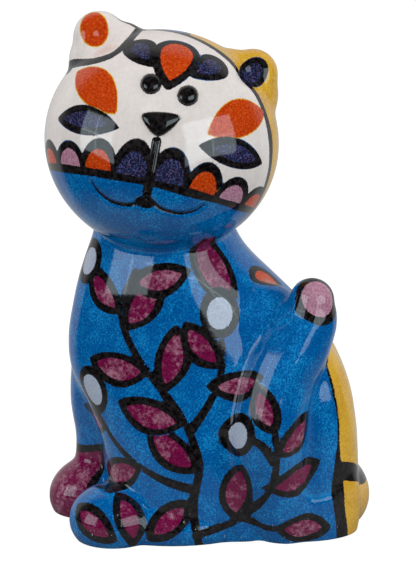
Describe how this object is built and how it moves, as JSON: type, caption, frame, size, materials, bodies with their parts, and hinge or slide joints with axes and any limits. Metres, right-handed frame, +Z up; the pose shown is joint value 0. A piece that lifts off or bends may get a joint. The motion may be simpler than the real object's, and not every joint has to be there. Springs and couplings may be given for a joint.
{
  "type": "cat figurine",
  "caption": "Seated glazed ceramic cat figurine with its head turned to the side and one hind leg raised along its body, painted in bright patches with black outlines.",
  "frame": {"origin": "middle of the bounding box on the flat underside, where the figurine stands", "axes": "+Z up; -Y the way the cat's face looks; -X the way its chest and forepaws point, +X towards its rump"},
  "size_m": [0.1118, 0.0784, 0.1772],
  "materials": {
    "glazed_ceramic": "gloss"
  },
  "bodies": {
    "root": {"cat": "glazed_ceramic"}
  },
  "joints": []
}
